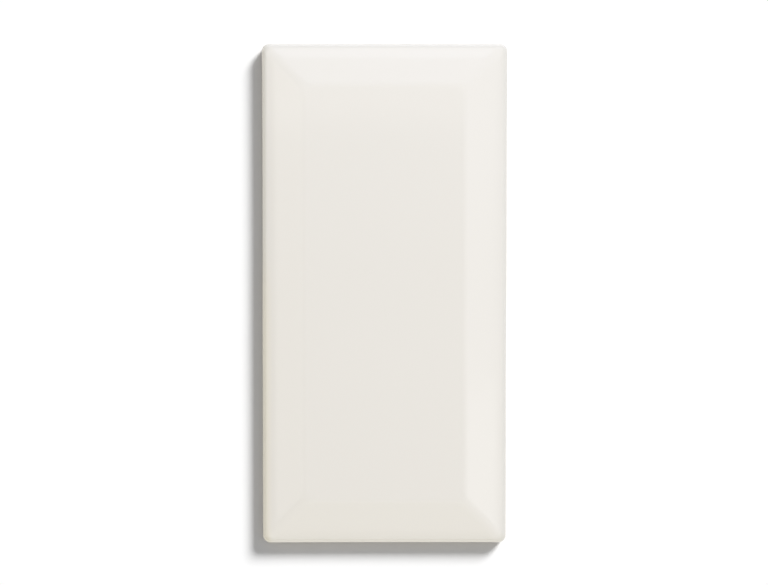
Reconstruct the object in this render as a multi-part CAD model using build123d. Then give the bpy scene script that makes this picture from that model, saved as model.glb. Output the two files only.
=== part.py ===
from build123d import *

import os
from math import floor

# Driving dimensions, in millimetres. The tile lies on its back, glazed face up, its long side along Y.
tile_width = 73.0  # a 3 in module less a 1/8 in joint
tile_length = 149.2  # a 6 in module less a 1/8 in joint
tile_thickness = 8.0  # from the back to the flat field in the middle of the face
rim_height = 5.0  # from the back to where the bevel planes would meet the sides
bevel_width = 12.5  # plan width of each sloping border
corner_radius = 2.2  # the four corners, seen from above
field_corner_radius = 2.4  # where two creases meet, which also widens the mitre
crease_radius = 9.0  # the soft bend between the flat field and a bevel
nose_radius = 2.0  # the rounded edge between a bevel and a side
back_arris = 0.6  # chamfer round the back

# The keyed back, a waffle of shallow pockets that the adhesive grips.
pocket_side = 13.0
pocket_corner_radius = 1.6
pocket_depth = 0.7
pocket_draft = 25.0  # degrees off vertical, so that the tile leaves the die
rib_width = 2.6
least_border = 4.0  # plain land between the pockets and the tile's edge


def rounded_outline(inset, radius, height):
    """The tile's outline drawn in by inset, as a face at a height."""
    outline = RectangleRounded(tile_width - 2 * inset, tile_length - 2 * inset, radius)
    return Plane.XY.offset(height) * outline


def edges_at(solid, height):
    """The edges that lie flat at one height."""
    return solid.edges().filter_by_position(Axis.Z, height, height)


def bevelled_blank():
    """The pressed blank: upright sides, four sloping bevels with soft mitres, and a flat field."""
    rim = rounded_outline(0, corner_radius, rim_height)
    field = rounded_outline(bevel_width, field_corner_radius, tile_thickness)
    blank = extrude(rounded_outline(0, corner_radius, 0), rim_height)
    blank += loft([rim, field], ruled=True)
    blank = fillet(edges_at(blank, tile_thickness), crease_radius)
    blank = fillet(edges_at(blank, rim_height), nose_radius)
    return chamfer(edges_at(blank, 0), back_arris)


def copies_across(length):
    """How many pockets fit along a length and still leave the border."""
    return floor((length - 2 * least_border + rib_width) / (pocket_side + rib_width))


def keyed_back():
    """The pockets of the waffle, as cutters. An even count of columns keeps a rib on the centre line."""
    pitch = pocket_side + rib_width
    columns = 2 * (copies_across(tile_width) // 2)
    rows = copies_across(tile_length)
    mouth = RectangleRounded(pocket_side, pocket_side, pocket_corner_radius)
    pocket = extrude(mouth, pocket_depth, taper=pocket_draft)
    return [place * pocket for place in GridLocations(pitch, pitch, columns, rows)]


wall_tile = bevelled_blank() - keyed_back()

os.makedirs("parts", exist_ok=True)
export_step(wall_tile, "parts/wall_tile.step")
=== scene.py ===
import math
from collections import namedtuple

import bpy
import numpy as np
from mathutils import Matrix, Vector, noise


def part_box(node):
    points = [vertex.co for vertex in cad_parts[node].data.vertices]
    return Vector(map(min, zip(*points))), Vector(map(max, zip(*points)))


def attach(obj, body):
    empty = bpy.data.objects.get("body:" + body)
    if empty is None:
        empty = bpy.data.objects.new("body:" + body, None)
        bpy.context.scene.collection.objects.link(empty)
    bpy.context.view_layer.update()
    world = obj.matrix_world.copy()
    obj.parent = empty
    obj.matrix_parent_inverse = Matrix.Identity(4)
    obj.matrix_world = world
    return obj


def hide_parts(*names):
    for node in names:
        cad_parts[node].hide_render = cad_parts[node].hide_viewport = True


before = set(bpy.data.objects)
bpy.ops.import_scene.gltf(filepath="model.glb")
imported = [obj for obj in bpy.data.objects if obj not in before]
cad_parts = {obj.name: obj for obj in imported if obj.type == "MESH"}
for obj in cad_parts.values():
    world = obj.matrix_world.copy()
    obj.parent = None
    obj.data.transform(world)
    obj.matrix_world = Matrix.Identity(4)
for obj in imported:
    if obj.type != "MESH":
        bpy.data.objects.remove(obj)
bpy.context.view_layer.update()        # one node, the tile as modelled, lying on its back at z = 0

# The tile's section and back, in millimetres, as in the part's source.
MM = 0.001
HALF_WIDTH, HALF_LENGTH, THICKNESS = (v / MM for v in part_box("wall_tile")[1])
RIM_HEIGHT = 5.0  # where the bevel planes would meet the sides
BEVEL_WIDTH = 12.5
CORNER_RADIUS = 2.2
FIELD_CORNER_RADIUS = 2.4
CREASE_RADIUS = 9.0
NOSE_RADIUS = 2.0
BACK_ARRIS = 0.6
POCKET_SIDE = 13.0
POCKET_CORNER_RADIUS = 1.6
POCKET_DEPTH = 0.7
POCKET_DRAFT = math.radians(25.0)
POCKET_WALL = POCKET_DEPTH * math.tan(POCKET_DRAFT)  # the wall's width, seen from beneath
RIB_WIDTH = 2.6
POCKET_PITCH = POCKET_SIDE + RIB_WIDTH
LEAST_BORDER = 4.0  # plain land between the pockets and the tile's edge

# What pressing, glazing and firing make of those true shapes, in millimetres.
FIRING_WEDGE = 0.22  # how far each long side stands out at the top end, and in at the bottom end
CAMBER = 0.05  # how proud the middle of the face stands
ROLL_OFF = 0.10  # how far the bevel drops away where the glaze flows towards the nose
ROLL_WIDTH = 4.5  # how far in from the side that begins
GLAZE_WAVE = 0.012
GLAZE_RIPPLE = 0.003
OUTLINE_WANDER = 0.07  # how far the nose strays from a straight line
GLAZE_BUILD = 0.11  # how far the glaze stands out from the bare side
GLAZE_LINE = 2.2  # the mean height on the side at which it ends
LINE_BEND = 0.45  # how far that line strays in long bends
LINE_WIGGLE = 0.16  # and in short ones
LINE_BLEND = 0.14  # how far above and below the line the glaze's surface passes into the body's
GLAZE_BEAD = 0.035  # how much thicker the glaze is near its edge
BEAD_RISE = 0.20  # how far above the line it is thickest
BEAD_SPREAD = 0.22
BODY_GRAIN = 0.015
NIBBLE_DEPTH = 0.35  # of the back arris, where a swell is 1 higher than it needs to be
NIBBLE_START = 0.45  # how high a swell needs to be to nibble it

# How far apart the swells of each noise are, in millimetres, and its seed.
WAVES = (24.0, 1)
RIPPLES = (7.0, 2)
LINE_BENDS = (13.0, 3)
LINE_WIGGLES = (3.4, 4)
OUTLINE_BENDS = (40.0, 5)
GRAINS = (1.1, 6)
NIBBLES = (5.0, 7)
SWELL_GAIN = 1.6  # brings the noise to about -1 to 1
SEED_SHIFT = Vector((17.3, -9.1, 4.7))

# How the mesh is divided: rings round the section, and a grid each on the back and the field.
STEPS = {"back": 3, "arris": 4, "side": 13, "nose": 14, "bevel": 14, "crease": 8, "field": 4}
EDGE_STEP = 0.12  # the first step beside an edge
CORNER_STEPS = 8
CORNER_TURNS = np.linspace(0.0, math.pi / 2, CORNER_STEPS + 1)[1:-1]
BACK_GRID_INSET = 2.8
FIELD_GRID_INSET = 16.0
WALL_SHARES = (0.0, 0.2, 0.8, 1.1)  # lines down a pocket's wall, in shares of its width
DEPTH_SHARES = (0.0, 0.16, 0.86, 1.0)  # how deep those lines lie, which leaves soft edges
FLOOR_LINES = (0.75, 1.2, POCKET_CORNER_RADIUS)  # lines on a pocket's floor, in from its side
POCKET_STEPS = 6  # from one corner of a pocket to the next
LAND_LINES = 4  # on each rib and border
MAP_MARGIN = 2.0
TINY = 1e-9  # keeps a division by zero away where its result isn't used

# Linear colours.
GLAZE_CREAM = (0.739, 0.711, 0.659)
GLAZE_PALE = (0.749, 0.721, 0.672)
GLAZE_THIN = (0.660, 0.640, 0.570)
LEFT_EDGE_WARMTH = (1.015, 1.0, 0.945)  # what the glaze's colour is multiplied by on the lower part of its left edge, which tints it warmer
BODY_BUFF = (0.560, 0.490, 0.400)
BODY_PALE = (0.660, 0.600, 0.510)
BODY_DARK = (0.330, 0.280, 0.220)
IRON = (0.130, 0.085, 0.055)
KILN_WASH = (0.740, 0.710, 0.655)
FLOOR_WHITE = (0.94, 0.94, 0.94)

# Where the colours change, in millimetres.
LINE_RAG = 0.30  # how far the glaze's edge strays about its line, from lowest to highest
LINE_SOFTNESS = 0.05
THIN_EDGE = 2.2  # how far in from the side the body shows through it
LONG_SIDE = (4.0, 1.0)  # in from a long side: thin glaze starts at the first and is full from the second
WARMER_EDGE = (1.2, 3.4)  # in from the left side: the warmer tint is full up to the first and ends at the second
WARMER_LENGTH = (-10.0, 20.0)  # along the tile, in the same way
WASH_HEIGHT = (0.02, 0.12)  # up from the back, in the same way for the kiln wash

# How strong the tints are, from 0 to 1.
THIN_SHARE = 0.55
TOP_END_SHARE = 0.4  # of the thin glaze's tint, at the top end
PINHOLE_SHARE = 0.35
GROG_SHARE = 0.35
IRON_SHARE = 0.6
WASH_SHARE = (0.15, 0.75)  # where the kiln wash is thinnest, and where it is thickest
SCORCH_SHARE = 0.35  # of the dark line where the glaze ends

# The values of the noise between which each change runs. Most of the noise lies from 0.3 to 0.7.
NOISE_SPAN = (0.3, 0.7)
GROG_SPAN = (0.52, 0.75)
WASH_SPAN = (0.25, 0.72)

# How rough the surfaces are, from their smoothest spots to their roughest.
GLAZE_ROUGHNESS = (0.07, 0.10)
BODY_ROUGHNESS = (0.82, 0.97)
GLAZE_IOR = 1.52  # its refractive index

# The relief that is in the material alone, in millimetres.
PEEL_HEIGHT = 0.0012
PINHOLE_DEPTH = 0.03
GRAIN_HEIGHT = 0.06
DRAG_HEIGHT = 0.03

# The studio, in metres. A radiance of 1 is what shows as white.
ROOM_LIGHT = (0.36, 0.36, 0.36)
BACKDROP = (1.0, 1.0, 1.0)
FLOOR_KEY = 4.15  # the strength of the sun that lights the floor alone
FLOOR_KEY_FROM = (0.53, 0.63, 0.53)
FLOOR_KEY_ANGLE = math.radians(19.0)
FLOOR_SPREAD = 320.0  # how many times as large as its opening the floor is
FLOOR_HEIGHT = -0.01 * MM  # so that it doesn't coincide with the tile's back
FLOOR_LAP = 0.2  # millimetres that it reaches in under the flat of the back, round its opening
BACK_KEY = 2.40  # and of the one that lights the tile's back from beneath
BACK_KEY_FROM = (-0.50, 0.60, -0.62)
BACK_KEY_ANGLE = math.radians(15.0)
NEUTRAL = (1.0, 1.0, 1.0)
COOL = (0.925, 1.0, 1.20)
WARM = (1.20, 1.0, 0.58)
IVORY = (0.99, 1.01, 0.95)
DOWN = (0, 0, -1)
FROM_TOP, FROM_BOTTOM, FROM_LEFT, FROM_RIGHT = (0, -1, 0), (0, 1, 0), (1, 0, 0), (-1, 0, 0)
PANELS = {  # which way each soft box looks, its middle, its size, its radiance and its colour
    "overhead": (DOWN, (0.20, 0.30, 1.10), (1.90, 2.40), 0.22, WARM),
    "key": (DOWN, (0.94, 1.05, 1.11), (1.02, 1.00), 6.44, COOL),
    "top_strip": (DOWN, (0.48, 0.99, 1.12), (1.25, 0.42), 0.79, COOL),
    "upper_card": (DOWN, (-0.26, 0.52, 1.13), (1.18, 0.80), 0.68, NEUTRAL),
    "right_strip": (DOWN, (0.54, 0.40, 1.14), (0.38, 1.80), 0.55, NEUTRAL),
    "right_spot": (DOWN, (0.70, -0.16, 1.15), (0.16, 0.17), 0.72, NEUTRAL),
    "left_card": (DOWN, (-0.59, 0.02, 1.16), (0.28, 0.50), 1.05, NEUTRAL),
    "left_gap_card": (DOWN, (-0.31, 0.02, 1.18), (0.28, 0.50), 0.20, NEUTRAL),
    "bottom_card": (DOWN, (-0.10, -0.61, 1.17), (0.80, 0.53), 0.47, NEUTRAL),
    "top_wall": (FROM_TOP, (0.0, 1.10, 0.45), (1.40, 0.70), 0.97, COOL),
    "bottom_wall": (FROM_BOTTOM, (0.0, -1.10, 0.45), (1.40, 0.70), 1.82, IVORY),
    "right_wall": (FROM_RIGHT, (1.10, 0.0, 0.45), (1.40, 0.70), 0.04, NEUTRAL),
    "left_wall": (FROM_LEFT, (-1.10, 0.0, 0.45), (1.40, 0.70), 0.08, WARM),
}
# These light the glaze but don't show in it, or they would glare on the field in a low view.
UNMIRRORED = {"key", "top_wall", "bottom_wall", "right_wall", "left_wall"}

# The photograph's framing: straight down, with the tile in the middle.
LENS, SENSOR = 135.0, 36.0
VIEW_WIDTH = 229.8  # millimetres across the picture at the tile's outline
VIEW_CENTRE = (-0.12, 0.2)
SILHOUETTE_HEIGHT = 4.0  # about where that outline lies above the back
NEAR, FAR = 0.01, 50.0  # between which the camera sees, in metres

Rings = namedtuple("Rings", "part inset height radius")


# The tile's shape.


def ramp(value, low, high):
    """0 up to low and 1 from high, with a smooth rise between."""
    t = np.clip((value - low) / (high - low), 0.0, 1.0)
    return t * t * (3.0 - 2.0 * t)


def swells(x, y, z, pitch, seed):
    """Smooth noise at points in millimetres, about -1 to 1, with its swells about pitch apart."""
    shift = SEED_SHIFT * seed
    points = np.stack([np.ravel(x), np.ravel(y), np.ravel(z)], 1) / pitch
    return np.array([noise.noise(Vector(p) + shift) for p in points]).reshape(np.shape(x)) * SWELL_GAIN


def run(start, stop, steps):
    """Points (inset, height) along a straight run, without its first."""
    return [tuple(p) for p in np.linspace(start, stop, steps + 1)[1:]]


def arc(centre, radius, start, stop, steps):
    """Points (inset, height) along an arc, without its first."""
    angles = np.linspace(start, stop, steps + 1)[1:]
    return [(centre[0] + radius * math.cos(a), centre[1] + radius * math.sin(a)) for a in angles]


def section():
    """The tile's section, from the back round the side to the field, as rings: the part that each is in,
    its inset, its height and the radius of its corners. Inset is the distance in from the side, seen
    from above."""
    slope = math.atan2(THICKNESS - RIM_HEIGHT, BEVEL_WIDTH)
    bevel_normal = math.pi / 2 + slope
    nose_reach = NOSE_RADIUS * math.tan((math.pi / 2 - slope) / 2)
    crease_reach = CREASE_RADIUS * math.tan(slope / 2)
    nose_centre = (NOSE_RADIUS, RIM_HEIGHT - nose_reach)
    crease_centre = (BEVEL_WIDTH + crease_reach, THICKNESS - CREASE_RADIUS)
    bevel_top = (
        BEVEL_WIDTH - crease_reach * math.cos(slope),
        THICKNESS - crease_reach * math.sin(slope),
    )
    back_end = (BACK_ARRIS + EDGE_STEP, 0.0)
    arris_start, arris_end = (BACK_ARRIS, 0.0), (0.0, BACK_ARRIS)
    nose = arc(nose_centre, NOSE_RADIUS, math.pi, bevel_normal, STEPS["nose"])
    crease = arc(crease_centre, CREASE_RADIUS, bevel_normal, math.pi / 2, STEPS["crease"])
    parts = {
        "back": run((BACK_GRID_INSET, 0.0), back_end, STEPS["back"]),
        "arris": [arris_start, *run(arris_start, arris_end, STEPS["arris"])],
        "side": run(arris_end, (0.0, nose_centre[1]), STEPS["side"]),
        "nose": nose,
        "bevel": run(nose[-1], bevel_top, STEPS["bevel"]),
        "crease": crease,
        "field": run(crease[-1], (FIELD_GRID_INSET, THICKNESS), STEPS["field"])[:-1],
    }
    part = np.array([name for name, points in parts.items() for _ in points])
    inset, height = np.array([p for points in parts.values() for p in points]).T

    # Towards the grids of the back and the field, which have square corners, a ring's corners sharpen.
    radius = CORNER_RADIUS + (FIELD_CORNER_RADIUS - CORNER_RADIUS) * np.minimum(inset / BEVEL_WIDTH, 1)
    below = np.isin(part, ["back", "arris"])
    radius[below] = CORNER_RADIUS * (1 - inset[below] / BACK_GRID_INSET)
    field = part == "field"
    to_grid = (FIELD_GRID_INSET - inset[field]) / (FIELD_GRID_INSET - crease_centre[0])
    radius[field] = FIELD_CORNER_RADIUS * to_grid
    return Rings(part, inset, height, radius)


def pockets_across(half):
    """How many pockets fit across the back and still leave the border."""
    return math.floor((2 * half - 2 * LEAST_BORDER + RIB_WIDTH) / POCKET_PITCH)


def land_lines(start, stop):
    """Grid lines across flat land, as back_lines gives them."""
    return [(place, -1.0, 0.0) for place in np.linspace(start, stop, LAND_LINES)]


def back_lines(count, half):
    """The back's grid lines across one direction, over count pockets: each one's place, how far it lies
    inside a pocket (-1 on the land) and the side of the pocket that it is nearer to (-1 or 1)."""
    near_side = [*[POCKET_WALL * share for share in WALL_SHARES], *FLOOR_LINES]
    far_side = [POCKET_SIDE - v for v in reversed(near_side)]
    middle = np.linspace(POCKET_CORNER_RADIUS, POCKET_SIDE - POCKET_CORNER_RADIUS, POCKET_STEPS + 1)[1:-1]
    pocket = [
        (v, min(v, POCKET_SIDE - v), math.copysign(1, v - POCKET_SIDE / 2))
        for v in [*near_side, *middle, *far_side]
    ]
    first = (RIB_WIDTH - POCKET_PITCH * count) / 2
    last = half - BACK_GRID_INSET
    lines = land_lines(-last, first - EDGE_STEP)
    for number in range(count):
        mouth = first + number * POCKET_PITCH
        if number:
            lines += land_lines(mouth - RIB_WIDTH + EDGE_STEP, mouth - EDGE_STEP)
        lines += [(mouth + v, inside, side) for v, inside, side in pocket]
    lines += land_lines(EDGE_STEP - first, last)
    return np.array(lines).T


def back_grid(lines_x, lines_y):
    """The points of the back's grid, with its pockets sunk and their corners drawn round."""
    x, y = np.meshgrid(lines_x[0], lines_y[0], indexing="ij")
    in_x, in_y = np.meshgrid(lines_x[1], lines_y[1], indexing="ij")
    side_x, side_y = np.meshgrid(lines_x[2], lines_y[2], indexing="ij")
    depth = np.interp(
        np.minimum(in_x, in_y),
        [POCKET_WALL * share for share in WALL_SHARES],
        [POCKET_DEPTH * share for share in DEPTH_SHARES],
    )
    pocket = (in_x >= 0) & (in_y >= 0)
    # Each L-shaped line round a corner becomes a quarter circle about the corner's centre.
    u, v = POCKET_CORNER_RADIUS - in_x, POCKET_CORNER_RADIUS - in_y
    corner = pocket & (u > 0) & (v > 0)
    radius = np.maximum(np.maximum(u, v), TINY)
    turn = np.where(u >= v, v / radius, 2 - u / radius) * math.pi / 4
    x = np.where(corner, x + side_x * (radius * np.cos(turn) - u), x)
    y = np.where(corner, y + side_y * (radius * np.sin(turn) - v), y)
    return x, y, np.where(pocket, depth, 0.0)


def around(inset, radius, across, along):
    """Plan points round a rounded rectangle, counterclockwise from the left end of the bottom side.
    across and along say where the points of its straight sides lie, from -1 to 1."""
    half_w, half_l = HALF_WIDTH - inset, HALF_LENGTH - inset
    sx, sy = half_w - radius, half_l - radius
    sides = (
        (sx * across, np.full_like(across, -half_l), sx, -sy, CORNER_TURNS - math.pi / 2),
        (np.full_like(along, half_w), sy * along, sx, sy, CORNER_TURNS),
        (sx * across[::-1], np.full_like(across, half_l), -sx, sy, CORNER_TURNS + math.pi / 2),
        (np.full_like(along, -half_w), sy * along[::-1], -sx, -sy, CORNER_TURNS + math.pi),
    )
    x = [v for side_x, _, cx, _, t in sides for v in (side_x, cx + radius * np.cos(t))]
    y = [v for _, side_y, _, cy, t in sides for v in (side_y, cy + radius * np.sin(t))]
    return np.concatenate(x), np.concatenate(y)


def outward(nx, ny):
    """The outward direction in plan at each point round a ring, whose sides have nx and ny steps."""
    facing = []
    for quarter, steps in enumerate((nx, ny, nx, ny), start=-1):
        facing += [np.full(steps + 1, quarter * math.pi / 2), CORNER_TURNS + quarter * math.pi / 2]
    facing = np.concatenate(facing)
    return np.cos(facing), np.sin(facing)


def waves(x, y, z):
    """How the glaze's surface rises and falls."""
    return GLAZE_WAVE * swells(x, y, z, *WAVES) + GLAZE_RIPPLE * swells(x, y, z, *RIPPLES)


def camber(x, y):
    """How far the face stands proud of flat."""
    return CAMBER * (1 - (x / HALF_WIDTH) ** 2) * (1 - (y / HALF_LENGTH) ** 2)


def wedged(x, y):
    """Where a point at x, y lies across the tile, once it has shrunk more towards its bottom end."""
    return x * (1 + FIRING_WEDGE / HALF_WIDTH * y / HALF_LENGTH)


def field_grid(even_x, even_y):
    """The points of the field's grid, as glazed and fired."""
    half_x, half_y = HALF_WIDTH - FIELD_GRID_INSET, HALF_LENGTH - FIELD_GRID_INSET
    x, y = np.meshgrid(half_x * even_x, half_y * even_y, indexing="ij")
    level = np.full_like(x, THICKNESS)
    return x, y, level + waves(x, y, level) + camber(x, y)


def ring_plans(rings, lines_x, lines_y, even_x, even_y):
    """Where the points of each ring lie, seen from above. Round the back they follow the pockets' lines,
    and they spread out evenly before the arris."""
    own_x, own_y = lines_x[0] / lines_x[0, -1], lines_y[0] / lines_y[0, -1]
    spread = 1 - ramp(rings.inset, BACK_ARRIS + EDGE_STEP, BACK_GRID_INSET)
    spread = np.where(rings.part == "back", spread, 1.0)
    plans = [
        around(inset, radius, own_x + (even_x - own_x) * share, own_y + (even_y - own_y) * share)
        for inset, radius, share in zip(rings.inset, rings.radius, spread)
    ]
    x, y = zip(*plans)
    return np.array(x), np.array(y)


def fired_rings(rings, x, y, out_x, out_y):
    """The rings' points as glazed and fired, and their reach, which is how far each lies above the line
    where the glaze ends."""
    z = np.repeat(rings.height[:, None], x.shape[1], 1)
    step_in, step_up = np.gradient(rings.inset), np.gradient(rings.height)
    length = np.hypot(step_in, step_up)
    normal_out, normal_up = (step_up / length)[:, None], (step_in / length)[:, None]
    lip = (1 - ramp(rings.inset, 0.0, BACK_GRID_INSET))[:, None]
    upper = np.isin(rings.part, ["nose", "bevel", "crease", "field"])[:, None]
    raised = z > 0

    # The line wanders along the side. Below it the body is bare.
    first_side = rings.part.tolist().index("side")
    foot = x[first_side], y[first_side], np.zeros(x.shape[1])
    line = GLAZE_LINE + LINE_BEND * swells(*foot, *LINE_BENDS) + LINE_WIGGLE * swells(*foot, *LINE_WIGGLES)
    reach = z - line
    bare = 1 - ramp(reach, -LINE_BLEND, LINE_BLEND)

    # The glaze: its waves, its wandering outline, its step down to the body and the bead above that.
    rise = np.where(upper | (reach > 0), waves(x, y, z), 0.0)
    out = rise * normal_out
    up = rise * normal_up
    out += OUTLINE_WANDER * lip * swells(*foot, *OUTLINE_BENDS)
    out -= GLAZE_BUILD * lip * bare
    out += GLAZE_BEAD * lip * np.exp(-(((reach - BEAD_RISE) / BEAD_SPREAD) ** 2))

    # The body: its grain and its nibbled arris. What lies flat on the floor stays there.
    grain = BODY_GRAIN * bare * swells(x, y, z, *GRAINS)
    out += grain * np.abs(normal_out)
    up += np.abs(grain) * raised
    nibble = NIBBLE_DEPTH * np.maximum(swells(*foot, *NIBBLES) - NIBBLE_START, 0)
    nibble = nibble * np.clip(1 - np.abs(z - BACK_ARRIS / 2) / BACK_ARRIS, 0, 1)
    nibble = nibble * (rings.part == "arris")[:, None]
    out -= nibble
    up += nibble * raised

    # The face: crowned, and rolled off towards the nose.
    roll_off = ROLL_OFF * (1 - ramp(rings.inset, 0.0, ROLL_WIDTH))[:, None]
    up += upper * (camber(x, y) - roll_off)
    return (x + out * out_x, y + out * out_y, z + up), reach


def grid_rim(nx, ny):
    """The point of a grid that each point round a ring meets. Those of a rounded corner meet one point."""
    i = [np.arange(nx + 1), np.full(ny + 1, nx), np.arange(nx, -1, -1), np.zeros(ny + 1, int)]
    j = [np.zeros(nx + 1, int), np.arange(ny + 1), np.full(nx + 1, ny), np.arange(ny, -1, -1)]
    found = []
    for side_i, side_j in zip(i, j):
        side = side_i * (ny + 1) + side_j
        found += [side, np.full(CORNER_TURNS.size, side[-1])]
    return np.concatenate(found)


def strip(lower, upper):
    """The faces between two rings of points. Where points meet, a quad becomes a triangle or nothing."""
    quads = zip(lower.tolist(), np.roll(lower, -1).tolist(), np.roll(upper, -1).tolist(), upper.tolist())
    faces = [tuple(dict.fromkeys(quad)) for quad in quads]
    return [face for face in faces if len(face) > 2]


def grid_quads(nx, ny, first):
    """The faces of a grid whose points are numbered from first, facing up."""
    i, j = np.meshgrid(np.arange(nx), np.arange(ny), indexing="ij")
    corner = (i * (ny + 1) + j).ravel() + first
    return np.stack([corner, corner + ny + 1, corner + ny + 2, corner + 1], 1)


def tile_faces(rings, nx, ny):
    """The faces of the back, and those of the rest. The points are numbered ring by ring, then over the
    back's grid, and then over the field's."""
    rim = grid_rim(nx, ny)
    back_first = rings.inset.size * rim.size
    field_first = back_first + (nx + 1) * (ny + 1)
    rows = [back_first + rim, *np.arange(back_first).reshape(-1, rim.size), field_first + rim]
    strips = [strip(lower, higher) for lower, higher in zip(rows, rows[1:])]
    back_rings = int((rings.part == "back").sum())
    behind = [tuple(quad) for quad in grid_quads(nx, ny, back_first)[:, ::-1].tolist()]
    behind += [face for band in strips[:back_rings] for face in band]
    before = [face for band in strips[back_rings:] for face in band]
    before += [tuple(quad) for quad in grid_quads(nx, ny, field_first).tolist()]
    return behind, before


def store(mesh, name, values):
    """Keeps a number for each point of a mesh, for its material to read."""
    attribute = mesh.attributes.new(name, "FLOAT", "POINT")
    attribute.data.foreach_set("value", np.concatenate(values).astype(np.float32))


def add_map(mesh, rings, grids, points, back_faces, even_x, even_y):
    """The map for baking, with the glazed side and face in one piece, unrolled, and the back beside it."""
    # In the map a ring lies as far from the field as it does along the section.
    length = np.hypot(np.gradient(rings.inset), np.gradient(rings.height))
    walk = np.cumsum(length[::-1])[::-1] - length[-1]
    spare = walk - (FIELD_GRID_INSET - rings.inset)
    unrolled = [
        around(inset - more, radius + more, even_x, even_y)
        for inset, radius, more in zip(rings.inset, rings.radius, spare)
    ]
    front_u = np.concatenate([*[plan[0] for plan in unrolled], *[grid[0].ravel() for grid in grids]])
    front_v = np.concatenate([*[plan[1] for plan in unrolled], *[grid[1].ravel() for grid in grids]])
    reach_w, reach_l = front_u.max(), front_v.max()
    side = 2 * (reach_l + MAP_MARGIN)
    front = np.stack([front_u + reach_w + MAP_MARGIN, front_v + reach_l + MAP_MARGIN], 1) / side
    behind_u = 2 * reach_w + 2 * MAP_MARGIN + HALF_WIDTH - points[:, 0]
    behind = np.stack([behind_u, points[:, 1] + reach_l + MAP_MARGIN], 1) / side
    corners = np.empty(len(mesh.loops), int)
    mesh.loops.foreach_get("vertex_index", corners)
    back_corners = mesh.polygons[back_faces].loop_start
    spots = np.where((np.arange(len(corners)) < back_corners)[:, None], behind[corners], front[corners])
    mesh.uv_layers.new(name="OFBake").uv.foreach_set("vector", spots.astype(np.float32).ravel())


def fired_tile():
    """The tile as one closed mesh: rings round its section, a grid on the back and one on the field."""
    columns = 2 * (pockets_across(HALF_WIDTH) // 2)  # an even count, for a rib on the centre line
    lines_x = back_lines(columns, HALF_WIDTH)
    lines_y = back_lines(pockets_across(HALF_LENGTH), HALF_LENGTH)
    nx, ny = lines_x.shape[1] - 1, lines_y.shape[1] - 1
    even_x, even_y = np.linspace(-1, 1, nx + 1), np.linspace(-1, 1, ny + 1)

    rings = section()
    x, y = ring_plans(rings, lines_x, lines_y, even_x, even_y)
    ringed, reach = fired_rings(rings, x, y, *outward(nx, ny))
    grids = back_grid(lines_x, lines_y), field_grid(even_x, even_y)
    points = np.concatenate([np.stack([np.ravel(v) for v in each], 1) for each in (ringed, *grids)])
    points[:, 0] = wedged(points[:, 0], points[:, 1])
    behind, before = tile_faces(rings, nx, ny)

    mesh = bpy.data.meshes.new("fired_wall_tile")
    mesh.from_pydata((points * MM).tolist(), [], behind + before)
    mesh.shade_smooth()
    grid = np.ones((nx + 1) * (ny + 1))
    store(mesh, "glaze_reach", [reach.ravel(), -GLAZE_LINE * grid, RIM_HEIGHT * grid])
    ring_insets = np.repeat(rings.inset, x.shape[1])
    store(mesh, "inset", [ring_insets, BACK_GRID_INSET * grid, FIELD_GRID_INSET * grid])
    add_map(mesh, rings, grids, points, len(behind), even_x, even_y)
    return mesh


# Materials.


def node(tree, kind, inputs=None, **settings):
    """A node with its settings and inputs made, where an input is a value or another node's output."""
    made = tree.nodes.new(kind)
    for name, value in settings.items():
        setattr(made, name, value)
    for name, value in (inputs or {}).items():
        if isinstance(value, bpy.types.NodeSocket):
            tree.links.new(value, made.inputs[name])
        else:
            made.inputs[name].default_value = value
    return made


def math_node(tree, operation, a, b=0.0, c=0.0):
    return node(tree, "ShaderNodeMath", {0: a, 1: b, 2: c}, operation=operation).outputs[0]


def grade(tree, value, low, high, start=0.0, stop=1.0):
    """value from low to high, as a smooth change from start to stop."""
    inputs = {"Value": value, "From Min": low, "From Max": high, "To Min": start, "To Max": stop}
    return node(tree, "ShaderNodeMapRange", inputs, interpolation_type="SMOOTHSTEP").outputs["Result"]


def centred(tree, value, height):
    """value from 0 to 1, as a height to both sides of 0."""
    return math_node(tree, "MULTIPLY_ADD", value, height, -height / 2)


def mix_value(tree, share, first, second):
    return node(tree, "ShaderNodeMix", {0: share, 2: first, 3: second}).outputs[0]


def mix_colour(tree, share, first, second, blend="MIX"):
    first, second = (v if isinstance(v, bpy.types.NodeSocket) else (*v, 1.0) for v in (first, second))
    inputs = {0: share, 6: first, 7: second}
    return node(tree, "ShaderNodeMix", inputs, data_type="RGBA", blend_type=blend).outputs[2]


def mottle(tree, place, pitch, detail=2.0, stretch=(1.0, 1.0, 1.0)):
    """Noise whose patches are about pitch millimetres across, from 0 to 1."""
    scaled = node(tree, "ShaderNodeMapping", {"Vector": place, "Scale": stretch}).outputs["Vector"]
    inputs = {"Vector": scaled, "Scale": 1 / (pitch * MM), "Detail": detail}
    return node(tree, "ShaderNodeTexNoise", inputs).outputs["Fac"]


def specks(tree, place, pitch, radius, rarity, core=0.2):
    """Round spots in about one of every rarity cells, which are about pitch millimetres across. Each is 1
    in its core, which is a share of its radius, and fades to 0 at its edge."""
    cells = node(tree, "ShaderNodeTexVoronoi", {"Vector": place, "Scale": 1 / (pitch * MM)})
    chance = node(tree, "ShaderNodeSeparateColor", {"Color": cells.outputs["Color"]}).outputs["Red"]
    chosen = math_node(tree, "LESS_THAN", chance, 1 / rarity)
    spot = grade(tree, cells.outputs["Distance"], core * radius / pitch, radius / pitch, 1.0, 0.0)
    return math_node(tree, "MULTIPLY", chosen, spot)


def new_material(name):
    material = bpy.data.materials.new(name)
    material.use_nodes = True
    tree = material.node_tree
    return material, tree, tree.nodes["Principled BSDF"]


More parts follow.
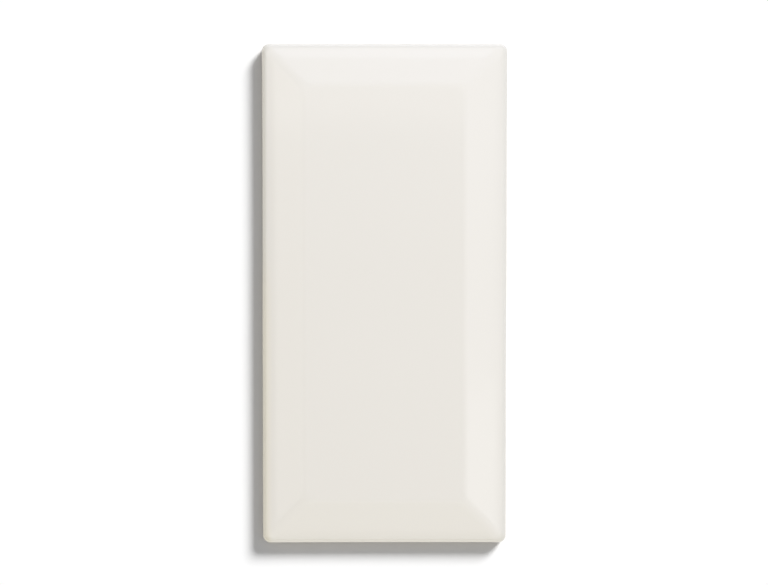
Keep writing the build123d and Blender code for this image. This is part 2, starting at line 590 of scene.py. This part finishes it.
def glaze_colour(tree, place, inset, pinholes):
    """Cream, a little paler where it lies thick. Near the nose it takes the thin glaze's darker, yellower
    tint along the two long sides and partly at the top end, not at the bottom end. The lower part of its left
    edge is tinted warmer."""
    across, along, _ = node(tree, "ShaderNodeSeparateXYZ", {0: place}).outputs
    glaze = mix_colour(tree, mottle(tree, place, pitch=45.0, detail=1.0), GLAZE_CREAM, GLAZE_PALE)

    # The thin glaze's tint darkens the nose along the two long sides and, less, at the top end. The bottom
    # end has none.
    starts, full = ((HALF_WIDTH - v) * MM for v in LONG_SIDE)
    long_side = grade(tree, math_node(tree, "ABSOLUTE", across), starts, full)
    top_end = grade(tree, along, 0.0, HALF_LENGTH * MM, 0.0, TOP_END_SHARE)
    thin_sides = math_node(tree, "MAXIMUM", long_side, top_end)
    thin = math_node(tree, "MULTIPLY", grade(tree, inset, 0.0, THIN_EDGE, THIN_SHARE, 0.0), thin_sides)
    glaze = mix_colour(tree, thin, glaze, GLAZE_THIN)

    # A warmer, less blue tint on the lower part of the left edge.
    full, ends = ((v - HALF_WIDTH) * MM for v in WARMER_EDGE)
    left_edge = grade(tree, across, full, ends, 1.0, 0.0)
    full, ends = (v * MM for v in WARMER_LENGTH)
    warmer = math_node(tree, "MULTIPLY", left_edge, grade(tree, along, full, ends, 1.0, 0.0))
    glaze = mix_colour(tree, warmer, glaze, LEFT_EDGE_WARMTH, "MULTIPLY")
    return mix_colour(tree, math_node(tree, "MULTIPLY", pinholes, PINHOLE_SHARE), glaze, BODY_DARK)


def body_colour(tree, place):
    """Buff and chalky, with dark grog, iron grains and a dusting of kiln wash on what touched the rollers."""
    height = node(tree, "ShaderNodeSeparateXYZ", {0: place}).outputs["Z"]
    body = mix_colour(tree, mottle(tree, place, pitch=9.0, detail=4.0), BODY_BUFF, BODY_PALE)
    grog = grade(tree, mottle(tree, place, pitch=0.5, detail=3.0), *GROG_SPAN, 0.0, GROG_SHARE)
    body = mix_colour(tree, grog, body, BODY_DARK)
    iron = specks(tree, place, pitch=2.4, radius=0.22, rarity=6)
    body = mix_colour(tree, math_node(tree, "MULTIPLY", iron, IRON_SHARE), body, IRON)
    full, ends = (v * MM for v in WASH_HEIGHT)
    land = grade(tree, height, full, ends, 1.0, 0.0)
    streaks = mottle(tree, place, pitch=2.0, detail=7.0, stretch=(1.0, 0.6, 1.0))
    dusty = grade(tree, streaks, *WASH_SPAN, *WASH_SHARE)
    return mix_colour(tree, math_node(tree, "MULTIPLY", land, dusty), body, KILN_WASH)


def relief(tree, place, glazed, pinholes):
    """Relief in metres: a faint orange peel and pinholes in the glaze, grains and press marks in the body."""
    peel = math_node(tree, "MULTIPLY", mottle(tree, place, pitch=1.9, detail=1.0), PEEL_HEIGHT * MM)
    pits = math_node(tree, "MULTIPLY", pinholes, -PINHOLE_DEPTH * MM)
    grains = centred(tree, mottle(tree, place, pitch=0.35, detail=4.0), GRAIN_HEIGHT * MM)
    drags = centred(tree, mottle(tree, place, pitch=0.3, stretch=(1.0, 1.0, 0.12)), DRAG_HEIGHT * MM)
    on_body = math_node(tree, "ADD", grains, drags)
    on_glaze = math_node(tree, "ADD", peel, pits)
    return mix_value(tree, glazed, on_body, on_glaze)


def fired_ceramic():
    """Cream gloss glaze over the face and the upper side, and the bare fired body below and behind."""
    material, tree, shader = new_material("glazed_ceramic")
    place = node(tree, "ShaderNodeTexCoord").outputs["Object"]
    reach = node(tree, "ShaderNodeAttribute", attribute_name="glaze_reach").outputs["Fac"]
    inset = node(tree, "ShaderNodeAttribute", attribute_name="inset").outputs["Fac"]
    ragged = math_node(tree, "ADD", reach, centred(tree, mottle(tree, place, pitch=0.9), LINE_RAG))
    glazed = grade(tree, ragged, -LINE_SOFTNESS, LINE_SOFTNESS)
    pinholes = specks(tree, place, pitch=7.0, radius=0.16, rarity=5)

    # Between the two runs a thin scorched line, where glazed passes one half.
    colour = mix_colour(tree, glazed, body_colour(tree, place), glaze_colour(tree, place, inset, pinholes))
    off_line = math_node(tree, "ABSOLUTE", math_node(tree, "SUBTRACT", glazed, 0.5))
    scorch = grade(tree, off_line, 0.0, 0.5, SCORCH_SHARE, 0.0)
    colour = mix_colour(tree, scorch, colour, BODY_DARK)
    gloss = grade(tree, mottle(tree, place, pitch=6.0, detail=3.0), *NOISE_SPAN, *GLAZE_ROUGHNESS)
    matt = grade(tree, mottle(tree, place, pitch=0.8, detail=3.0), *NOISE_SPAN, *BODY_ROUGHNESS)
    heights = relief(tree, place, glazed, pinholes)
    bump = node(tree, "ShaderNodeBump", {"Height": heights, "Distance": 1.0, "Strength": 1.0})

    tree.links.new(colour, shader.inputs["Base Color"])
    tree.links.new(mix_value(tree, glazed, matt, gloss), shader.inputs["Roughness"])
    tree.links.new(bump.outputs["Normal"], shader.inputs["Normal"])
    shader.inputs["IOR"].default_value = GLAZE_IOR
    return material


def floor_paint():
    """Matt white, and clear from beneath, so that the tile's back can be looked at."""
    material, tree, shader = new_material("studio_floor")
    shader.inputs["Base Color"].default_value = (*FLOOR_WHITE, 1.0)
    shader.inputs["Roughness"].default_value = 1.0
    shader.inputs["Specular IOR Level"].default_value = 0.0
    beneath = node(tree, "ShaderNodeNewGeometry").outputs["Backfacing"]
    clear = node(tree, "ShaderNodeBsdfTransparent").outputs[0]
    seen = node(tree, "ShaderNodeMixShader", {0: beneath, 1: shader.outputs[0], 2: clear})
    tree.links.new(seen.outputs[0], tree.nodes["Material Output"].inputs["Surface"])
    return material


# The studio.


def floor_ring():
    """A level floor with an opening where the tile's back lies, so that light from beneath reaches only
    the back."""
    ends = np.array([-1.0, 1.0])
    inset = BACK_ARRIS + FLOOR_LAP
    x, y = around(inset, CORNER_RADIUS - inset, ends, ends)
    opening = np.stack([wedged(x, y) * MM, y * MM, np.full_like(x, FLOOR_HEIGHT)], 1)
    outside = opening * (FLOOR_SPREAD, FLOOR_SPREAD, 1.0)
    faces = strip(*np.arange(2 * len(x)).reshape(2, -1))
    mesh = bpy.data.meshes.new("studio_floor")
    mesh.from_pydata([*outside.tolist(), *opening.tolist()], [], faces)
    return mesh


def place_object(data, name):
    made = bpy.data.objects.new(name, data)
    bpy.context.scene.collection.objects.link(made)
    return made


def only(name, *objects):
    """A collection that a light is linked to, and that isn't in the scene itself."""
    group = bpy.data.collections.new(name)
    for each in objects:
        group.objects.link(each)
    return group


def light(name, kind, lit, towards, **settings):
    """A light that looks one way, reaches only what is in one collection, and isn't seen by the camera."""
    data = bpy.data.lights.new(name, kind)
    for setting, value in settings.items():
        setattr(data, setting, value)
    made = place_object(data, name)
    made.rotation_euler = (-Vector(towards)).to_track_quat("Z", "Y").to_euler()
    made.light_linking.receiver_collection = lit
    made.visible_camera = False
    return made


def panel(name, lit, facing, middle, size, radiance, colour):
    """A soft box, whose radiance is what a mirror would show of it."""
    width, depth = size
    power = radiance * math.pi * width * depth
    shape = {"shape": "RECTANGLE", "size": width, "size_y": depth}
    made = light(name, "AREA", lit, facing, energy=power, color=colour, **shape)
    made.location = middle
    made.visible_glossy = name not in UNMIRRORED


def sun(name, lit, shines_from, strength, angle):
    """A distant light, which looks as wide as its angle."""
    light(name, "SUN", lit, -Vector(shines_from), energy=strength, angle=angle)


def studio_room():
    """An even grey room round the tile, which the camera sees as a white backdrop."""
    room = bpy.data.worlds.new("studio")
    room.use_nodes = True
    tree = room.node_tree
    to_camera = node(tree, "ShaderNodeLightPath").outputs["Is Camera Ray"]
    shown = mix_colour(tree, to_camera, ROOM_LIGHT, BACKDROP)
    tree.links.new(shown, tree.nodes["Background"].inputs["Color"])
    return room


def overhead_camera():
    data = bpy.data.cameras.new("camera")
    data.lens, data.sensor_width = LENS, SENSOR
    data.clip_start, data.clip_end = NEAR, FAR
    made = place_object(data, "camera")
    distance = VIEW_WIDTH * MM * LENS / SENSOR
    made.location = (*[v * MM for v in VIEW_CENTRE], SILHOUETTE_HEIGHT * MM + distance)
    return made


tile = place_object(fired_tile(), "fired_wall_tile")
tile.data.materials.append(fired_ceramic())
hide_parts("wall_tile")
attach(tile, "root")

floor = place_object(floor_ring(), "studio_floor")
floor.data.materials.append(floor_paint())

on_tile, on_floor = only("lit_tile", tile), only("lit_floor", floor)
for name, settings in PANELS.items():
    panel(name, on_tile, *settings)
sun("floor_key", on_floor, FLOOR_KEY_FROM, FLOOR_KEY, FLOOR_KEY_ANGLE)
sun("back_key", on_tile, BACK_KEY_FROM, BACK_KEY, BACK_KEY_ANGLE)

bpy.context.scene.world = studio_room()
bpy.context.scene.camera = overhead_camera()
bpy.context.scene.view_settings.view_transform = "Standard"
